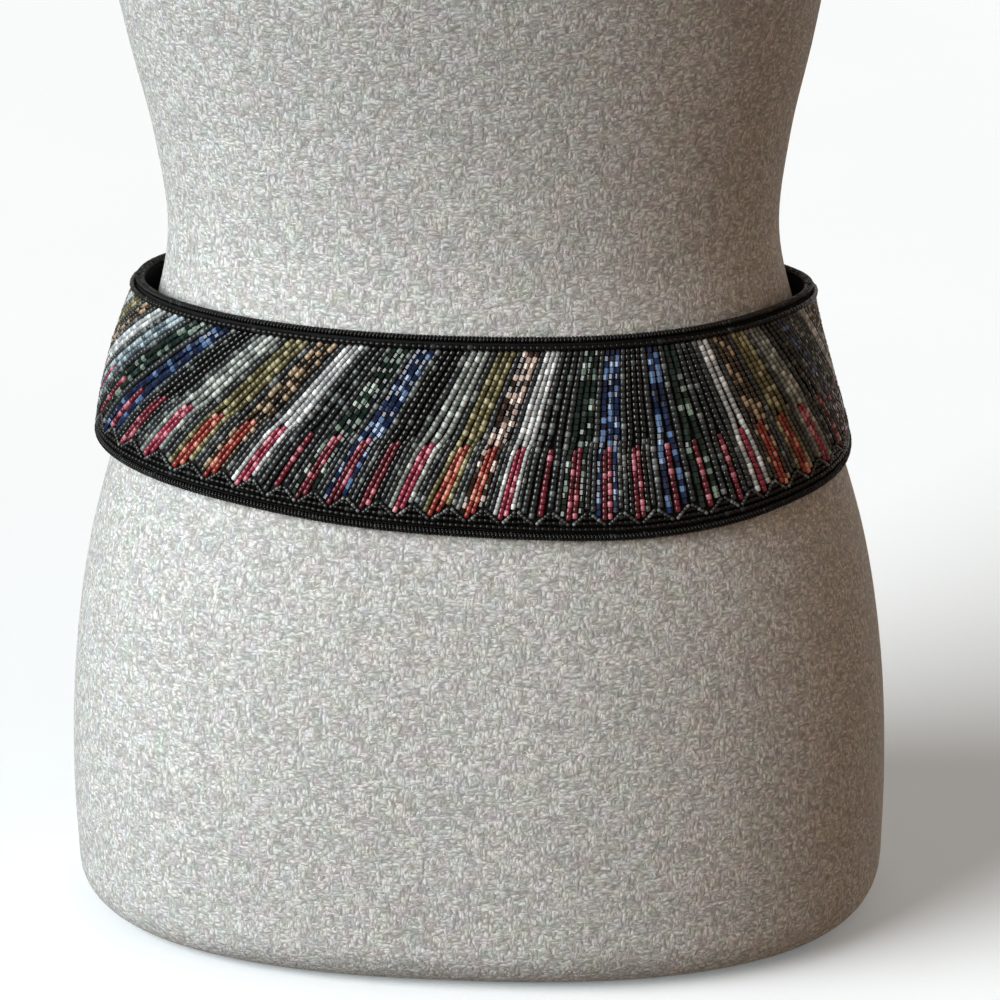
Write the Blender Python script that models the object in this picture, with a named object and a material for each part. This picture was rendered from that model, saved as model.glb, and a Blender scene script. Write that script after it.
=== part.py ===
"""A beaded belt on a limbless dress form.

Metres, +Z up. +X is the wearer's left, on the viewer's right, and the front faces -Y.
The form stands on its flat base at Z = 0 and the belt goes round it below the waist.

A turn and a height place a point on the form. The turn goes round it in degrees: 0 at the
front, 90 at +X, 180 at the back. The belt runs from START_TURN at the back, round the front, to
END_TURN, where its last stretch lies outside its first. Every piece of the belt is made from
belt_point, so its layers keep the same distance from each other all the way round.
"""

import math

import bmesh
import bpy
import numpy as np

# Dress form
BASE_ROUNDING = 0.0186
NECK_ROUNDING = 0.006
FORM_COLUMNS = 64

# One row per level: height, half width, depth in front, depth behind, squareness of the ring.
# Squareness 2 is an ellipse, and more is fuller at the corners.
FORM_LEVELS = (
    (0.0186, 0.1669, 0.1210, 0.1225, 2.40),  # edge of the base
    (0.0500, 0.1677, 0.1216, 0.1240, 2.40),  # hips, the widest
    (0.1000, 0.1657, 0.1201, 0.1235, 2.33),
    (0.1500, 0.1585, 0.1149, 0.1180, 2.26),
    (0.2000, 0.1445, 0.1048, 0.1060, 2.19),  # under the belt
    (0.2400, 0.1313, 0.0952, 0.0950, 2.13),
    (0.2800, 0.1224, 0.0887, 0.0880, 2.09),  # waist, the narrowest
    (0.3200, 0.1264, 0.0920, 0.0905, 2.09),
    (0.3600, 0.1352, 0.1010, 0.0955, 2.10),
    (0.4000, 0.1426, 0.1125, 0.1000, 2.12),
    (0.4400, 0.1480, 0.1195, 0.1030, 2.14),  # bust
    (0.4800, 0.1525, 0.1188, 0.1045, 2.16),
    (0.5200, 0.1570, 0.1085, 0.1050, 2.20),
    (0.5600, 0.1610, 0.0920, 0.0990, 2.25),
    (0.5950, 0.1600, 0.0790, 0.0880, 2.28),  # shoulders
    (0.6200, 0.1430, 0.0690, 0.0770, 2.25),
    (0.6400, 0.1120, 0.0620, 0.0690, 2.20),
    (0.6570, 0.0810, 0.0570, 0.0620, 2.12),
    (0.6740, 0.0610, 0.0530, 0.0560, 2.05),  # neck
    (0.7000, 0.0550, 0.0510, 0.0520, 2.00),
    (0.7200, 0.0545, 0.0505, 0.0510, 2.00),
)

# Heights at which the form's mesh has a ring, as first, last and step. It is finest at the belt.
FORM_RING_STEPS = (
    (0.0300, 0.1600, 0.0260),
    (0.1750, 0.3050, 0.0100),
    (0.3250, 0.5650, 0.0240),
    (0.5800, 0.6600, 0.0114),
    (0.6740, 0.7000, 0.0130),
)

# Belt layers, from the form outward
FORM_GAP = 0.00036
LINING_THICKNESS = 0.0010
PANEL_THICKNESS = 0.0020
SEAM_GAP = 0.0003
WALL = LINING_THICKNESS + SEAM_GAP + PANEL_THICKNESS

BELT_COLUMNS = 124
BELT_ROWS = 5

# One row per place round the form: turn, height of the belt's top edge, height of its bottom edge.
# The middle of the belt, where it is deepest, sits to the viewer's right of the form's front.
BELT_EDGES = (
    (-180.0, 0.2548, 0.1950),
    (-150.0, 0.2556, 0.1952),
    (-120.0, 0.2570, 0.1955),
    (-90.0, 0.2592, 0.1955),
    (-70.0, 0.2608, 0.1948),
    (-50.0, 0.2616, 0.1936),
    (-30.0, 0.2615, 0.1914),
    (-10.0, 0.2612, 0.1876),
    (10.0, 0.2606, 0.1848),
    (27.0, 0.2598, 0.1831),
    (45.0, 0.2594, 0.1844),
    (60.0, 0.2597, 0.1870),
    (75.0, 0.2594, 0.1886),
    (90.0, 0.2574, 0.1904),
    (110.0, 0.2548, 0.1926),
    (140.0, 0.2542, 0.1942),
    (180.0, 0.2548, 0.1950),
    (210.0, 0.2556, 0.1952),
    (240.0, 0.2570, 0.1955),
)

# How far the belt stands off the form at its two sides, beyond FORM_GAP, as one row per place
# down the belt: 0 at the top edge and 1 at the bottom, then the viewer's left and right side
SIDE_STAND_OFF = (
    (0.00, 0.0064, 0.0058),
    (0.25, 0.0085, 0.0047),
    (0.50, 0.0092, 0.0038),
    (0.75, 0.0079, 0.0028),
    (1.00, 0.0056, 0.0016),
)

# Ropes of beads along the edges
TOP_ROPE_HEIGHT = 0.0026
TOP_ROPE_DEPTH = 0.0037
FACE_ROPE_HEIGHT = 0.0022
FACE_ROPE_DEPTH = 0.0013
BOTTOM_ROPE_HEIGHT = 0.0032
BOTTOM_ROPE_DEPTH = 0.0038
ROPE_SIDES = 8
FACE_ROPE_SIDES = 6

# Lap at the back, held by two press studs
START_TURN = -156.0
END_TURN = 216.0
LIFT_START_TURN = 172.0
LIFT_FULL_TURN = 201.0
STUD_RADIUS = 0.0050
STUD_THICKNESS = 0.0016
STUD_SIDES = 24
STUD_TURN = -150.0
LAP_GAP = STUD_THICKNESS + 2 * SEAM_GAP

# One row per press stud: name, place between the belt's top edge at 0 and its bottom edge at 1
STUDS = (
    ("press_stud_upper", 0.28),
    ("press_stud_lower", 0.72),
)

# One row per material: colour, metallic, roughness
MATERIALS = {
    "form_cloth": ((0.50, 0.48, 0.44), 0.0, 0.75),
    "beadwork": ((0.045, 0.050, 0.055), 0.0, 0.30),
    "lining_cloth": ((0.006, 0.006, 0.007), 0.0, 0.80),
    "black_beads": ((0.007, 0.009, 0.010), 0.0, 0.25),
    "stud_metal": ((0.30, 0.30, 0.31), 1.0, 0.35),
}


def smooth_step(value):
    """0 below 0, 1 above 1, and an even rise between."""
    value = min(max(value, 0.0), 1.0)
    return value * value * (3.0 - 2.0 * value)


def with_slopes(table):
    """A table's first column, its other columns, and how fast those change at each row."""
    rows = np.array(table)
    return rows[:, 0], rows[:, 1:], np.gradient(rows[:, 1:], rows[:, 0], axis=0)


def between_rows(table, place):
    """The other columns at a place in the first column, on a smooth curve through the rows."""
    places, values, slopes = table
    place = min(max(place, places[0]), places[-1])
    i = min(max(int(np.searchsorted(places, place)) - 1, 0), len(places) - 2)
    span = places[i + 1] - places[i]
    t = (place - places[i]) / span
    return (
        values[i] * (1 + 2 * t) * (1 - t) ** 2
        + slopes[i] * span * t * (1 - t) ** 2
        + values[i + 1] * t * t * (3 - 2 * t)
        - slopes[i + 1] * span * t * t * (1 - t)
    )


FORM_TABLE = with_slopes(FORM_LEVELS)
EDGE_TABLE = with_slopes(BELT_EDGES)
STAND_OFF_TABLE = with_slopes(SIDE_STAND_OFF)


def skin_point(turn, height, inset=0.0):
    """A point on the form's side, or that far in from it on a ring drawn smaller."""
    half_width, front, back, squareness = between_rows(FORM_TABLE, height)
    across = math.sin(math.radians(turn))
    ahead = math.cos(math.radians(turn))
    depth = front if ahead > 0 else back
    x = (half_width - inset) * math.copysign(abs(across) ** (2 / squareness), across)
    y = (depth - inset) * -math.copysign(abs(ahead) ** (2 / squareness), ahead)
    return np.array([x, y, height])


def outward(turn, height):
    """The direction straight out of the form's side."""
    around = skin_point(turn + 0.5, height) - skin_point(turn - 0.5, height)
    upward = skin_point(turn, height + 0.002) - skin_point(turn, height - 0.002)
    normal = np.cross(around, upward)
    return normal / np.linalg.norm(normal)


def belt_edges(turn):
    """Heights of the belt's top and bottom edges."""
    return between_rows(EDGE_TABLE, turn)


def stand_off(turn, height):
    """How far the belt stands off the form, beyond FORM_GAP: at the sides, and where it laps."""
    top, bottom = belt_edges(turn)
    left, right = between_rows(STAND_OFF_TABLE, (top - height) / (top - bottom))
    across = math.sin(math.radians(turn))
    side = (right if across > 0 else left) * abs(across) ** 3
    lift = smooth_step((turn - LIFT_START_TURN) / (LIFT_FULL_TURN - LIFT_START_TURN))
    return side + (WALL + LAP_GAP) * lift


def belt_point(turn, height, out):
    """A point of the belt at that distance out from the inner face of its lining."""
    distance = FORM_GAP + stand_off(turn, height) + out
    return skin_point(turn, height) + distance * outward(turn, height)


def panel_edges(turn):
    """Heights between which the panel and the lining lie, clear of the edge ropes."""
    top, bottom = belt_edges(turn)
    return top - TOP_ROPE_HEIGHT - SEAM_GAP, bottom + BOTTOM_ROPE_HEIGHT + SEAM_GAP


def belt_turns():
    return np.linspace(START_TURN, END_TURN, BELT_COLUMNS)


def make_material(name):
    colour, metallic, roughness = MATERIALS[name]
    material = bpy.data.materials.new(name)
    material.use_nodes = True
    shader = material.node_tree.nodes["Principled BSDF"]
    shader.inputs["Base Color"].default_value = (*colour, 1.0)
    shader.inputs["Metallic"].default_value = metallic
    shader.inputs["Roughness"].default_value = roughness
    return material


def loft(name, rings, material, ladder_caps=False):
    """A closed body through rings of points. A ladder cap joins each point to the one opposite it."""
    mesh = bmesh.new()
    skin = [[mesh.verts.new(point) for point in ring] for ring in rings]
    count = len(skin[0])
    for here, there in zip(skin, skin[1:]):
        for i in range(count):
            j = (i + 1) % count
            mesh.faces.new((here[i], here[j], there[j], there[i]))
    for ring in (skin[0], skin[-1]):
        if ladder_caps:
            for i in range(count // 2 - 1):
                mesh.faces.new((ring[i], ring[i + 1], ring[count - 2 - i], ring[count - 1 - i]))
        else:
            mesh.faces.new(ring)
    bmesh.ops.recalc_face_normals(mesh, faces=mesh.faces)
    if mesh.calc_volume(signed=True) < 0:
        bmesh.ops.reverse_faces(mesh, faces=mesh.faces)
    data = bpy.data.meshes.new(name)
    mesh.to_mesh(data)
    mesh.free()
    data.materials.append(material)
    body = bpy.data.objects.new(name, data)
    bpy.context.scene.collection.objects.link(body)
    return body


def form_ring(height, inset=0.0):
    turns = np.linspace(0.0, 360.0, FORM_COLUMNS, endpoint=False)
    return [skin_point(turn, height, inset) for turn in turns]


def lowered(ring, height):
    return [np.array([x, y, height]) for x, y, _ in ring]


def make_form(material):
    """The torso: a rounded edge at the base, the rings of the body and a rounded edge at the neck."""
    rings = []
    for angle in np.radians((90, 66, 44, 24, 10)):
        inset = BASE_ROUNDING * (1 - math.cos(angle))
        height = BASE_ROUNDING * (1 - math.sin(angle))
        rings.append(lowered(form_ring(FORM_LEVELS[0][0], inset), height))
    rings.append(form_ring(FORM_LEVELS[0][0]))
    for first, last, step in FORM_RING_STEPS:
        for height in np.arange(first, last + step / 2, step):
            rings.append(form_ring(height))
    neck = FORM_LEVELS[-1][0]
    for angle in np.radians((0, 30, 60, 90)):
        inset = NECK_ROUNDING * (1 - math.cos(angle))
        height = neck - NECK_ROUNDING * (1 - math.sin(angle))
        rings.append(lowered(form_ring(neck, inset), height))
    return loft("dress_form", rings, material)


def make_layer(name, inner, outer, material):
    """A layer of the belt between two distances out from the lining's inner face."""
    rings = []
    for turn in belt_turns():
        heights = np.linspace(*panel_edges(turn), BELT_ROWS)
        front = [belt_point(turn, height, outer) for height in heights]
        back = [belt_point(turn, height, inner) for height in heights]
        rings.append(front + back[::-1])
    return loft(name, rings, material, ladder_caps=True)


def make_rope(name, centre_height, out, half_height, half_depth, sides, material):
    """A rope along the belt. centre_height gives its height at a turn, and out its distance out."""
    rings = []
    for turn in belt_turns():
        height = centre_height(turn)
        centre = belt_point(turn, height, out)
        normal = outward(turn, height)
        upward = belt_point(turn, height + 0.002, out) - belt_point(turn, height - 0.002, out)
        upward = upward / np.linalg.norm(upward)
        ring = []
        for i in range(sides):
            angle = math.tau * (i + 0.5) / sides
            reach = 1 / math.cos(math.pi / sides)
            out_part = half_depth * reach * math.cos(angle) * normal
            up_part = half_height * reach * math.sin(angle) * upward
            ring.append(centre + out_part + up_part)
        rings.append(ring)
    return loft(name, rings, material)


def make_ropes(material):
    def top_centre(turn):
        return belt_edges(turn)[0] - TOP_ROPE_HEIGHT / 2

    def face_centre(turn):
        return panel_edges(turn)[0] - SEAM_GAP - FACE_ROPE_HEIGHT / 2

    def bottom_centre(turn):
        return belt_edges(turn)[1] + BOTTOM_ROPE_HEIGHT / 2

    middle = WALL / 2
    face = WALL + SEAM_GAP + FACE_ROPE_DEPTH / 2
    make_rope("top_edge_rope", top_centre, middle, TOP_ROPE_HEIGHT / 2, TOP_ROPE_DEPTH / 2,
              ROPE_SIDES, material)
    make_rope("top_face_rope", face_centre, face, FACE_ROPE_HEIGHT / 2, FACE_ROPE_DEPTH / 2,
              FACE_ROPE_SIDES, material)
    make_rope("bottom_edge_rope", bottom_centre, middle, BOTTOM_ROPE_HEIGHT / 2, BOTTOM_ROPE_DEPTH / 2,
              ROPE_SIDES, material)


def make_stud(name, place, material):
    """A closed press stud between the two ends of the belt."""
    high, low = panel_edges(STUD_TURN)
    height = high + (low - high) * place
    normal = outward(STUD_TURN, height)
    level = np.cross([0.0, 0.0, 1.0], normal)
    level = level / np.linalg.norm(level)
    upward = np.cross(normal, level)
    rings = []
    for out in (0.0, STUD_THICKNESS):
        centre = belt_point(STUD_TURN, height, WALL + SEAM_GAP + out)
        angles = [math.tau * i / STUD_SIDES for i in range(STUD_SIDES)]
        rings.append([
            centre + STUD_RADIUS * (math.cos(angle) * level + math.sin(angle) * upward)
            for angle in angles
        ])
    return loft(name, rings, material)


def main():
    for existing in list(bpy.data.objects):
        bpy.data.objects.remove(existing, do_unlink=True)
    materials = {name: make_material(name) for name in MATERIALS}
    make_form(materials["form_cloth"])
    make_layer("belt_lining", 0.0, LINING_THICKNESS, materials["lining_cloth"])
    make_layer("belt_panel", LINING_THICKNESS + SEAM_GAP, WALL, materials["beadwork"])
    make_ropes(materials["black_beads"])
    for name, place in STUDS:
        make_stud(name, place, materials["stud_metal"])


main()
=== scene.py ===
"""The looks of a beaded belt on a limbless dress form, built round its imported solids.

Metres, +Z up, with the front facing -Y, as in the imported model. A turn and a height place a point
on the form: the turn goes round it in degrees, 0 at the front, 90 at +X and 180 at the back.
Every bead, and both layers of cloth under the beads, is placed by belt_points.
"""

import math

import bmesh
import bpy
import numpy as np
from mathutils import Matrix, Quaternion, Vector, noise


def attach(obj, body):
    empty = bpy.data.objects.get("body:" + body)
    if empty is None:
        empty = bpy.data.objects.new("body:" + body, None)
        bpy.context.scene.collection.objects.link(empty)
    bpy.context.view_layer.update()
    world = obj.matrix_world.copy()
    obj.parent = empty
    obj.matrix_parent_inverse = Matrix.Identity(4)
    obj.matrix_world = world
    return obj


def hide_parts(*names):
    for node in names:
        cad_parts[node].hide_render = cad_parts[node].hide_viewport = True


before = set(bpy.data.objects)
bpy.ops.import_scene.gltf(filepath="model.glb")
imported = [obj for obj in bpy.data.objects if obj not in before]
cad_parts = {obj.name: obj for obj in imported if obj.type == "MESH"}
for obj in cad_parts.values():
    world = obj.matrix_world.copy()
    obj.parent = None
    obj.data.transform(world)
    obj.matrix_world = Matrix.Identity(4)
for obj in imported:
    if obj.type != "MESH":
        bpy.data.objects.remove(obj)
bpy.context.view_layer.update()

# Dress form
BASE_ROUNDING = 0.0186
NECK_ROUNDING = 0.006
FORM_COLUMNS = 176
FORM_STEP = 0.005
ROUNDING_STEPS = 8
MERGE_DISTANCE = 1e-6

# One row per level: height, half width, depth in front, depth behind, squareness of the ring.
FORM_LEVELS = (
    (0.0186, 0.1669, 0.1210, 0.1225, 2.40),  # edge of the base
    (0.0500, 0.1677, 0.1216, 0.1240, 2.40),  # hips, the widest
    (0.1000, 0.1657, 0.1201, 0.1235, 2.33),
    (0.1500, 0.1585, 0.1149, 0.1180, 2.26),
    (0.2000, 0.1445, 0.1048, 0.1060, 2.19),  # under the belt
    (0.2400, 0.1313, 0.0952, 0.0950, 2.13),
    (0.2800, 0.1224, 0.0887, 0.0880, 2.09),  # waist, the narrowest
    (0.3200, 0.1264, 0.0920, 0.0905, 2.09),
    (0.3600, 0.1352, 0.1010, 0.0955, 2.10),
    (0.4000, 0.1426, 0.1125, 0.1000, 2.12),
    (0.4400, 0.1480, 0.1195, 0.1030, 2.14),  # bust
    (0.4800, 0.1525, 0.1188, 0.1045, 2.16),
    (0.5200, 0.1570, 0.1085, 0.1050, 2.20),
    (0.5600, 0.1610, 0.0920, 0.0990, 2.25),
    (0.5950, 0.1600, 0.0790, 0.0880, 2.28),  # shoulders
    (0.6200, 0.1430, 0.0690, 0.0770, 2.25),
    (0.6400, 0.1120, 0.0620, 0.0690, 2.20),
    (0.6570, 0.0810, 0.0570, 0.0620, 2.12),
    (0.6740, 0.0610, 0.0530, 0.0560, 2.05),  # neck
    (0.7000, 0.0550, 0.0510, 0.0520, 2.00),
    (0.7200, 0.0545, 0.0505, 0.0510, 2.00),
)

# Belt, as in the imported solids
FORM_GAP = 0.00036
SEAM_GAP = 0.0003
WALL = 0.0033
STUD_THICKNESS = 0.0016
LAP_GAP = STUD_THICKNESS + 2 * SEAM_GAP
DEEPEST_TURN = 27.0
START_TURN = -156.0
END_TURN = 216.0
LIFT_START_TURN = 172.0
LIFT_FULL_TURN = 201.0
TOP_ROPE_HEIGHT = 0.0026
TOP_ROPE_DEPTH = 0.0037
FACE_ROPE_HEIGHT = 0.0022
FACE_ROPE_DEPTH = 0.0013
BOTTOM_ROPE_HEIGHT = 0.0032
BOTTOM_ROPE_DEPTH = 0.0038

# One row per place round the form: turn, height of the belt's top edge, height of its bottom edge.
BELT_EDGES = (
    (-180.0, 0.2548, 0.1950),
    (-150.0, 0.2556, 0.1952),
    (-120.0, 0.2570, 0.1955),
    (-90.0, 0.2592, 0.1955),
    (-70.0, 0.2608, 0.1948),
    (-50.0, 0.2616, 0.1936),
    (-30.0, 0.2615, 0.1914),
    (-10.0, 0.2612, 0.1876),
    (10.0, 0.2606, 0.1848),
    (27.0, 0.2598, 0.1831),
    (45.0, 0.2594, 0.1844),
    (60.0, 0.2597, 0.1870),
    (75.0, 0.2594, 0.1886),
    (90.0, 0.2574, 0.1904),
    (110.0, 0.2548, 0.1926),
    (140.0, 0.2542, 0.1942),
    (180.0, 0.2548, 0.1950),
    (210.0, 0.2556, 0.1952),
    (240.0, 0.2570, 0.1955),
)

# How far the belt stands off the form at its two sides: place down the belt, viewer's left, right
SIDE_STAND_OFF = (
    (0.00, 0.0064, 0.0058),
    (0.25, 0.0085, 0.0047),
    (0.50, 0.0092, 0.0038),
    (0.75, 0.0079, 0.0028),
    (1.00, 0.0056, 0.0016),
)
# Power of the turn's sine by which that dies away towards the front and the back
SIDE_POWER = 3

# Cloth layers, as distances out from the lining's inner face
LINING_OUT = 0.0009
LINING_SHELL = 0.0008
GROUND_OUT = 0.0020
GROUND_SHELL = 0.0006
HIDDEN_EDGE = 0.0012
CLOTH_COLUMNS = 300
CLOTH_ROWS = 14

# Steps over which the slope of the form's side is read, in degrees and in metres
SLOPE_TURN = 0.5
SLOPE_HEIGHT = 0.002

# Cloth of the form: how its pattern is drawn out where its loops lie across, where they stand
# upright, and for its sparks of painted glint
LOOPS_ACROSS = (0.72, 0.72, 1.70, 1.0)
LOOPS_UPRIGHT = (1.55, 1.55, 0.72, 1.0)
SPARKS_ACROSS = (0.7, 0.7, 2.2)
# Its patterns in repeats per metre: drift of the loops, patches that lie one way, loops, strands of
# a loop, clouds of tint and sparks of painted glint on the shining thread. Then how far the loops drift,
# in metres.
DRIFT_SCALE = 420.0
PATCH_SCALE = 260.0
LOOP_SCALE = 600.0
STRAND_SCALE = 2600.0
TINT_SCALE = 170.0
SPARK_SCALE = 1700.0
DRIFT_DISTANCE = 0.0016
YARN_DARK = (0.318, 0.317, 0.307)
YARN_PLAIN = (0.462, 0.467, 0.464)
YARN_LIGHT = (0.662, 0.674, 0.678)
# Painted shade: the colour of the yarn deep in the hollows between its loops
PAINTED_HOLLOW_SHADE = (0.212, 0.208, 0.198, 1.0)
# Painted glint: near white on rare specks of the shining thread
PAINTED_GLINT_COLOUR = (0.76, 0.76, 0.75, 1.0)

# Black cloth and thread: colours, and scales of the waves that draw their threads
CANVAS_COLOUR = (0.008, 0.008, 0.009)
LINING_COLOUR = (0.007, 0.007, 0.008)
CORD_COLOUR = (0.006, 0.006, 0.007)
CANVAS_WAVES = 2500 / 3
LINING_WAVES = 5000 / 3
CORD_WAVES = 1250.0

# Beads: pitch is the step from bead to bead in a row, and BEAD_OUT how far out the rows lie
BEAD_SIDES = 6
BEAD_END_ROUNDING = 0.26
BEAD_RADIUS = 0.00113
BEAD_LENGTH = 0.00234
BEAD_PITCH = 0.00236
BEAD_OUT = 0.00250
SMALL_BEAD_RADIUS = 0.00074
SMALL_BEAD_LENGTH = 0.00134
POINT_BEAD_PITCH = 0.00142
BLACK_BEAD_WIDTH = 0.98
# Shares of beads that get a painted highlight: black beads, and the small beads along the points
BLACK_SHARE = 0.04
POINT_SHARE = 0.20

# How far a sewn bead strays, as spreads: its tilt sideways and out from the cloth, its shift
# sideways and outward, and the shares by which it is thicker or longer than usual
SIDE_TILT = 0.035
OUT_TILT = 0.03
SIDE_SHIFT = 0.00005
OUT_SHIFT = 0.00004
THICKNESS_SPREAD = 0.03
LENGTH_SPREAD = 0.012
USUAL_LENGTH = 0.99
# Half the length over which a bead takes its direction from its row, as a share of the pitch
AXIS_REACH = 0.4

# Tone of a bead: low in its deep colour, high in the colour of its painted highlight, which clusters of
# beads get
PLAIN_TONES = (0.0, 0.66)
PAINTED_HIGHLIGHT_TONES = (0.80, 1.0)
CLUSTERS_PER_METRE = 130.0
# How many beads get it, as multiples of their finish's share: anywhere, and more towards a cluster
LONE_BEADS = 0.25
CLUSTERED_BEADS = 1.5

# Ropes: the cord, the wraps of small beads over it, and the ridge of single beads
CORD_OUT = WALL / 2
CORD_SIDES = 10
WRAP_PITCH = 0.00146
WRAP_LEAN = 0.0009
WRAP_SLOPE = 0.00006
WRAP_REACH = 0.2
# Share of the beads of the ropes and the ridge that get a painted highlight
ROPE_SHARE = 0.05
RIDGE_OUT = WALL + SEAM_GAP + FACE_ROPE_DEPTH - BEAD_RADIUS
RIDGE_INSET = 0.4
RIDGE_BEAD_WIDTH = 0.97
# Places of the beads round each cord, in degrees: 0 faces outward and 90 is on top
TOP_ROPE_BEADS = (-58, 2, 62, 118, 178)
BOTTOM_ROPE_BEADS = (55, 8, -40, -90, -140)

# The field of beads: it starts under the face rope and ends in points above the bottom edge.
# Black rows fill the notches between the points, run under them, and run up the belt's two ends.
FIELD_TOP_DROP = 0.0026
TIP_RISE = 0.0056
NOTCH_DEPTH = 0.0054
LOWEST_SEARCHED = 0.75
SEARCH_STEPS = 51
EDGE_STEPS = 21
ROW_CORNER = 0.05
POINT_CLEARANCE = 0.0009
END_MARGIN = 0.9
NOTCH_ROW_RISES = (0.0011, 0.0032)
NOTCH_CORNER = 0.06
LOW_ROW_DROP = 0.0011
LOW_ROW_INSET = 0.60
END_ROW_INSET = 0.55
END_ROW_DROP = 0.0010
END_ROW_STEPS = 12
# Edge of a point: how far across its section it starts, the share of that at which it stops,
# how many places the line has, and how far it lies out from the rows.
POINT_EDGE = 0.47
POINT_GAP = 0.1
POINT_STEPS = 5
POINT_LIFT = 0.0005

# One row per section of the fan: number from the middle, turn of its top, turn of its tip.
# Between the rows the sections are even.
SECTIONS = (
    (-36.0, -162.0, -198.0),
    (-28.0, -110.0, -146.0),
    (-24.0, -84.5, -120.5),
    (-20.0, -60.4, -94.8),
    (-18.0, -48.0, -78.6),
    (-17.0, -41.8, -69.8),
    (-16.0, -36.2, -61.4),
    (-15.0, -30.6, -53.2),
    (-14.0, -24.8, -45.0),
    (-13.0, -19.4, -37.6),
    (-12.0, -14.2, -31.2),
    (-11.0, -10.3, -25.6),
    (-10.0, -6.6, -20.1),
    (-9.0, -2.6, -15.0),
    (-8.0, 1.2, -10.1),
    (-7.0, 5.5, -5.3),
    (-6.0, 9.8, -0.9),
    (-5.0, 13.8, 3.2),
    (-4.0, 17.6, 7.6),
    (-3.0, 20.8, 12.2),
    (-2.0, 24.3, 17.5),
    (-1.0, 28.0, 23.0),
    (0.0, 31.7, 28.4),
    (1.0, 35.3, 34.2),
    (2.0, 38.7, 40.4),
    (3.0, 42.2, 46.8),
    (4.0, 45.7, 52.4),
    (5.0, 49.8, 58.3),
    (6.0, 54.3, 65.2),
    (7.0, 58.9, 73.2),
    (8.0, 63.4, 81.4),
    (12.0, 77.0, 100.0),
    (16.0, 96.0, 122.5),
    (20.0, 118.5, 147.0),
    (37.0, 220.0, 251.0),
)

# Colours of the sections, from the middle of the belt outward on both sides, over and over
COLOUR_ROUND = ("black", "blue", "green", "charcoal", "white", "brown", "gold", "silver")

# Sections that differ from the round, by their number
ODD_SECTIONS = {-5: "copper", -19: "pale_blue"}

# Reds of the wedges, by the colour of their section
WEDGE_REDS = {
    "white": "rose", "silver": "rose", "gold": "coral", "copper": "coral", "brown": "coral",
}

# Rows of beads in a section: kind, place across the top and across the tip from -0.5 to 0.5, and
# where the row starts and ends down the section.
NARROW_ROWS = (
    ("outline", -0.375, -0.417, 0.00, 1.00),
    ("colour", -0.125, -0.250, 0.00, 1.00),
    ("colour", 0.125, 0.083, 0.00, 0.55),
    ("red", 0.125, 0.083, 0.55, 1.00),
    ("red", 0.000, -0.083, 0.565, 1.00),
    ("colour", 0.375, 0.250, 0.00, 1.00),
    ("outline", 0.500, 0.417, 0.52, 1.00),
)
WIDE_ROWS = (
    ("outline", -0.400, -0.417, 0.00, 1.00),
    ("colour", -0.200, -0.250, 0.00, 1.00),
    ("colour", 0.000, -0.083, 0.00, 0.55),
    ("red", 0.000, -0.083, 0.55, 1.00),
    ("colour", 0.200, 0.083, 0.00, 0.58),
    ("red", 0.200, 0.083, 0.58, 1.00),
    ("colour", 0.400, 0.250, 0.00, 1.00),
    ("outline", 0.500, 0.417, 0.53, 1.00),
)
SLANTED_ROWS = (
    ("outline", -0.333, -0.375, 0.00, 1.00),
    ("colour", 0.000, -0.125, 0.00, 1.00),
    ("red", 0.167, 0.125, 0.56, 1.00),
    ("colour", 0.333, 0.375, 0.00, 1.00),
)
# One row per plan, tried in turn: its rows, how many lie side by side at the top and at the tip,
# and the least room that a row may have.
ROW_PLANS = (
    (WIDE_ROWS, 5, 6, 0.0021),
    (NARROW_ROWS, 4, 6, 0.0018),
    (SLANTED_ROWS, 3, 4, 0.0),
)
THINNEST_BEAD = 0.80
THICKEST_BEAD = 1.12
LINE_STEPS = 15
SECTION_BOW = 0.30
# The rows of the top give way to those of the tip between these places down a section
ROWS_SPREAD_FROM = 0.49
ROWS_SPREAD_TO = 0.60

# One row per finish of bead: its deep colour, its plain colour, and the colour of a painted
# highlight, as of a bead that catches the light.
BEAD_COLOURS = {
    "jet": ((0.001, 0.001, 0.001), (0.003, 0.003, 0.003), (0.022, 0.026, 0.026)),
    "black": ((0.002, 0.003, 0.003), (0.005, 0.006, 0.007), (0.060, 0.072, 0.072)),
    "blue": ((0.003, 0.007, 0.024), (0.008, 0.022, 0.070), (0.110, 0.185, 0.330)),
    "green": ((0.003, 0.008, 0.007), (0.009, 0.022, 0.018), (0.190, 0.255, 0.215)),
    "charcoal": ((0.006, 0.008, 0.009), (0.017, 0.022, 0.024), (0.095, 0.115, 0.120)),
    "white": ((0.240, 0.255, 0.265), (0.360, 0.375, 0.385), (0.640, 0.660, 0.670)),
    "copper": ((0.010, 0.005, 0.004), (0.036, 0.018, 0.014), (0.530, 0.420, 0.375)),
    "gold": ((0.058, 0.051, 0.022), (0.116, 0.103, 0.045), (0.300, 0.278, 0.160)),
    "silver": ((0.115, 0.130, 0.123), (0.200, 0.222, 0.211), (0.410, 0.440, 0.420)),
    "outline": ((0.014, 0.017, 0.018), (0.036, 0.041, 0.043), (0.140, 0.155, 0.155)),
    "rose": ((0.150, 0.012, 0.030), (0.260, 0.032, 0.064), (0.540, 0.220, 0.270)),
    "coral": ((0.130, 0.015, 0.012), (0.240, 0.036, 0.025), (0.520, 0.210, 0.150)),
    "crimson": ((0.060, 0.007, 0.012), (0.140, 0.016, 0.029), (0.430, 0.150, 0.190)),
    "brown": ((0.012, 0.008, 0.005), (0.042, 0.028, 0.017), (0.330, 0.245, 0.165)),
    "pale_blue": ((0.055, 0.075, 0.088), (0.120, 0.160, 0.185), (0.340, 0.410, 0.450)),
}
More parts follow.
